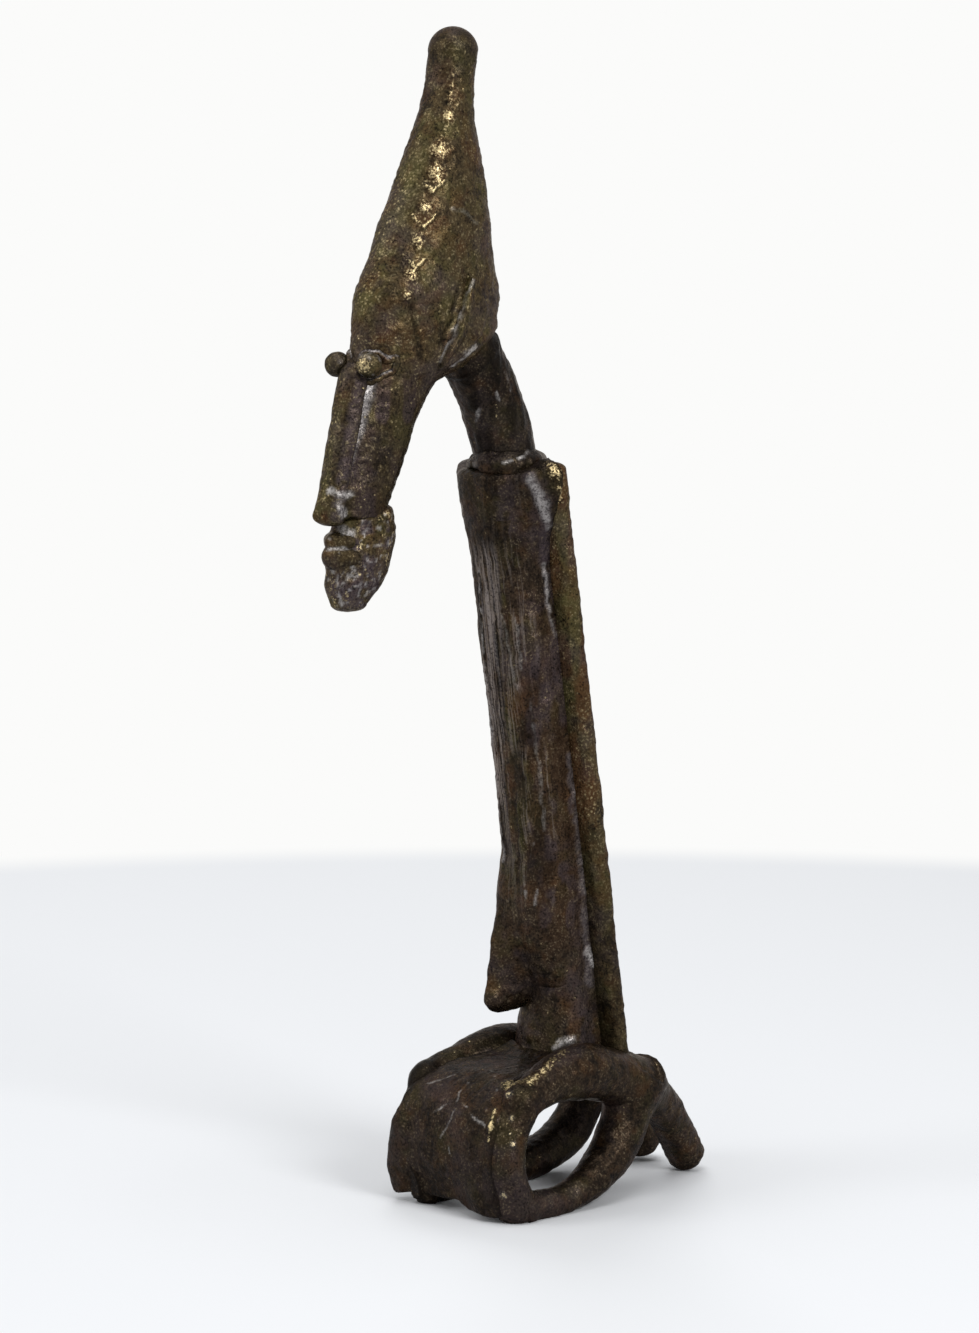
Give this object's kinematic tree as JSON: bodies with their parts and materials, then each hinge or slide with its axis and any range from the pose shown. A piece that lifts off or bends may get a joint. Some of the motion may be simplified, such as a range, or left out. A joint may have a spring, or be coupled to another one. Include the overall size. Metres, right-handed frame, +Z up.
{
  "type": "cast bronze seated figure",
  "caption": "Slender seated figure in dark patinated bronze with a pointed cap, a long bearded face, a tall flat torso and looped legs under an apron; stands free on a shelf.",
  "frame": {"origin": "on the ground under the middle of the figure's bounding box", "axes": "+Z up along the figure's height, -Y the way its face looks, +X its left side"},
  "size_m": [0.0314, 0.086, 0.2033],
  "materials": {
    "dark_patina": "cast, dark brown-black patina, satin",
    "brown_patina": "cast, brown patina, satin",
    "worn_bronze": "cast, patina worn to the metal, satin"
  },
  "bodies": {
    "root": {"apron": "brown_patina", "beard": "dark_patina", "belly": "brown_patina", "cap": "worn_bronze", "chest_panel": "brown_patina", "head": "dark_patina", "hips": "brown_patina", "left_arm": "worn_bronze", "left_ear_flap": "dark_patina", "left_eye": "worn_bronze", "left_eyelid": "dark_patina", "left_foot": "brown_patina", "left_knee": "brown_patina", "left_shin": "brown_patina", "left_thigh": "brown_patina", "lower_lip": "dark_patina", "neck": "dark_patina", "neck_collar": "dark_patina", "nose": "dark_patina", "right_arm": "worn_bronze", "right_ear_flap": "dark_patina", "right_eye": "worn_bronze", "right_eyelid": "dark_patina", "right_foot": "brown_patina", "right_knee": "brown_patina", "right_shin": "brown_patina", "right_thigh": "brown_patina", "torso": "brown_patina", "upper_lip": "dark_patina"}
  },
  "joints": []
}
